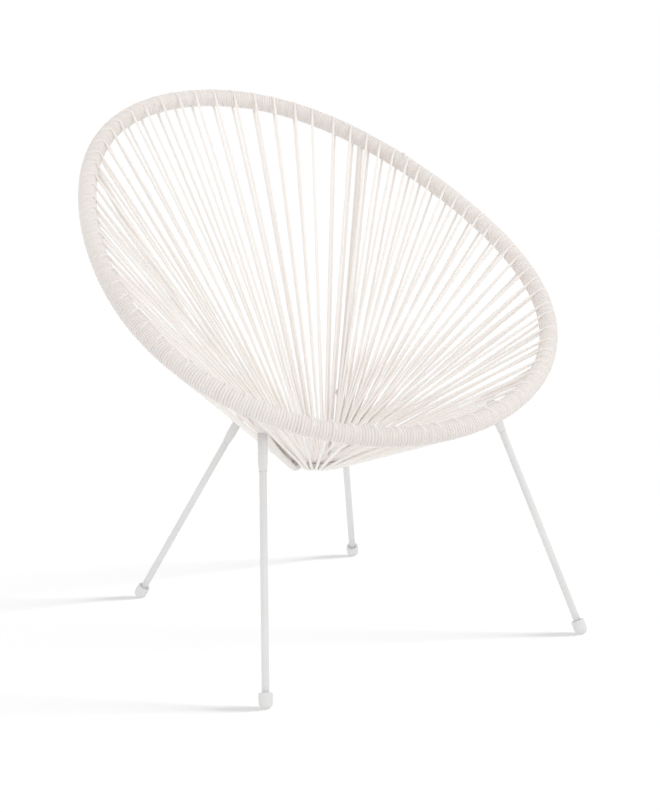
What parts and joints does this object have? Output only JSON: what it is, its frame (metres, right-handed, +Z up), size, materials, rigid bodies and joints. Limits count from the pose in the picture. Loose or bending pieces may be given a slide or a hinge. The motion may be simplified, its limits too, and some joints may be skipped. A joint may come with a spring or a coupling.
{
  "type": "string lounge chair",
  "caption": "Egg-shaped metal hoop strung with white cord down to a small base ring, forming a bucket seat on slim splayed legs.",
  "frame": {"origin": "on the floor, below the middle of the box around the chair", "axes": "+Z up, the seat opens towards -Y, +X towards the right when looking along +Y from the front"},
  "size_m": [0.7538, 0.7672, 0.8631],
  "materials": {
    "cord": "extruded plastic cord, satin",
    "frame_paint": "satin powder coat",
    "foot_cap": "moulded plastic, satin"
  },
  "bodies": {
    "root": {"hoop_tube": "frame_paint", "base_ring": "frame_paint", "strut_rear_right": "frame_paint", "strut_front_right": "frame_paint", "strut_rear_left": "frame_paint", "strut_front_left": "frame_paint", "leg_socket_rear_right": "frame_paint", "leg_socket_front_right": "frame_paint", "leg_socket_rear_left": "frame_paint", "leg_socket_front_left": "frame_paint", "leg_rear_right": "frame_paint", "leg_front_right": "frame_paint", "leg_rear_left": "frame_paint", "leg_front_left": "frame_paint", "foot_rear_right": "foot_cap", "foot_front_right": "foot_cap", "foot_rear_left": "foot_cap", "foot_front_left": "foot_cap", "cord_panel_01": "cord", "cord_panel_02": "cord", "cord_panel_03": "cord", "cord_panel_04": "cord", "cord_panel_05": "cord", "cord_panel_06": "cord", "cord_panel_07": "cord", "cord_panel_08": "cord", "cord_panel_09": "cord", "cord_panel_10": "cord", "cord_panel_11": "cord", "cord_panel_12": "cord"}
  },
  "joints": []
}
